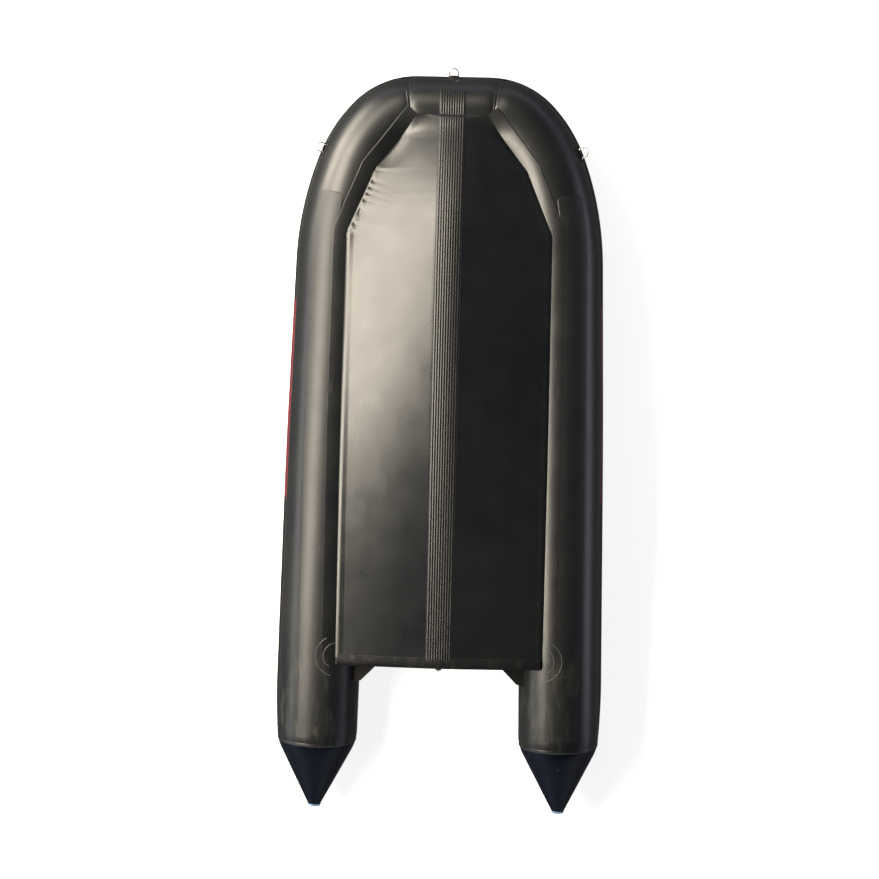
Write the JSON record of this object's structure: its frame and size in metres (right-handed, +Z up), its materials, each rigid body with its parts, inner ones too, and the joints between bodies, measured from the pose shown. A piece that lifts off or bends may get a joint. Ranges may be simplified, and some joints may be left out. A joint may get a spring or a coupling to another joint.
{
  "type": "soft-bottom inflatable sport boat",
  "caption": "Inflatable sport boat stored keel up: buoyancy tubes with tail cones, V-shaped fabric bottom with ridged keel guard, plywood transom, aluminium floor, sliding seats.",
  "frame": {"origin": "centre of the bounding box at floor level, under the upturned boat", "axes": "+Z up, which is towards the keel because the boat is stored keel up; +Y towards the bow; +X towards the port side"},
  "size_m": [1.9106, 4.348, 0.703],
  "materials": {
    "black_rubber": "satin black",
    "bow_plywood": "varnished marine plywood",
    "floor_aluminium": "mill finish",
    "grey_plastic": "dark grey",
    "hull_fabric": "glossy PVC-coated woven fabric",
    "navy_plastic": "satin moulded plastic",
    "pale_plastic": "pale end disc",
    "plate_plastic": "ribbed black",
    "red_rubber": "satin deep red",
    "seat_aluminium": "satin",
    "steel": "polished stainless",
    "transom_plywood": "dark grey sealed marine plywood",
    "valve_plastic": "dark grey"
  },
  "bodies": {
    "hull": {"bow_board": "bow_plywood", "bow_handle": "black_rubber", "bow_ring_patch": "black_rubber", "bow_seam_tapes": "hull_fabric", "bow_strake": "black_rubber", "bow_tube": "hull_fabric", "bow_valve": "valve_plastic", "drain_valve": "valve_plastic", "floor_joiners": "floor_aluminium", "floor_panels": "floor_aluminium", "hull_bottom": "hull_fabric", "inner_motor_plate": "plate_plastic", "keel_guard": "black_rubber", "outer_motor_plate": "plate_plastic", "port_cone_cap": "pale_plastic", "port_handles": "black_rubber", "port_oarlock_base": "black_rubber", "port_red_strake": "red_rubber", "port_ring_patch": "black_rubber", "port_rub_strake": "black_rubber", "port_seam_flange": "hull_fabric", "port_seat_tracks": "black_rubber", "port_stern_patch": "hull_fabric", "port_stringer": "floor_aluminium", "port_tail_cone": "navy_plastic", "port_transom_holder": "black_rubber", "port_tube": "hull_fabric", "port_valve": "valve_plastic", "port_wear_strip": "black_rubber", "starboard_cone_cap": "pale_plastic", "starboard_handles": "black_rubber", "starboard_oarlock_base": "black_rubber", "starboard_red_strake": "red_rubber", "starboard_ring_patch": "black_rubber", "starboard_rub_strake": "black_rubber", "starboard_seam_flange": "hull_fabric", "starboard_seat_tracks": "black_rubber", "starboard_stern_patch": "hull_fabric", "starboard_stringer": "floor_aluminium", "starboard_tail_cone": "navy_plastic", "starboard_transom_holder": "black_rubber", "starboard_tube": "hull_fabric", "starboard_valve": "valve_plastic", "starboard_wear_strip": "black_rubber", "transom": "transom_plywood"},
    "fore_seat": {"fore_seat": "seat_aluminium"},
    "aft_seat": {"aft_seat": "seat_aluminium"},
    "port_oarlock": {"port_oarlock": "grey_plastic"},
    "starboard_oarlock": {"starboard_oarlock": "grey_plastic"},
    "port_ring": {"port_ring": "steel"},
    "starboard_ring": {"starboard_ring": "steel"},
    "bow_ring": {"bow_ring": "steel"}
  },
  "joints": [
    {"name": "aft_seat_slide", "type": "slide", "parent": "hull", "child": "aft_seat", "axis": [0, 0.9974, 0.0727], "range_m": [-0.15, 0.15]},
    {"name": "fore_seat_slide", "type": "slide", "parent": "hull", "child": "fore_seat", "axis": [0, 0.9979, -0.065], "range_m": [-0.15, 0.15]},
    {"name": "port_oarlock_swivel", "type": "hinge", "parent": "hull", "child": "port_oarlock", "pos_m": [0.82999, -0.4056, 0.15003], "axis": [0.6426, 0.0691, -0.763], "range_deg": [-90, 90]},
    {"name": "starboard_oarlock_swivel", "type": "hinge", "parent": "hull", "child": "starboard_oarlock", "pos_m": [-0.82999, -0.4056, 0.15003], "axis": [-0.6426, 0.0691, -0.763], "range_deg": [-90, 90]},
    {"name": "port_ring_hinge", "type": "hinge", "parent": "hull", "child": "port_ring", "pos_m": [0.75088, 1.68542, 0.33704], "axis": [-0.3616, 0.9303, -0.0606], "range_deg": [-60, 60]},
    {"name": "starboard_ring_hinge", "type": "hinge", "parent": "hull", "child": "starboard_ring", "pos_m": [-0.75088, 1.68542, 0.33704], "axis": [-0.3616, -0.9303, 0.0606], "range_deg": [-60, 60]},
    {"name": "bow_ring_hinge", "type": "hinge", "parent": "hull", "child": "bow_ring", "pos_m": [0, 2.12804, 0.30819], "axis": [1, 0, 0], "range_deg": [-60, 60]}
  ]
}
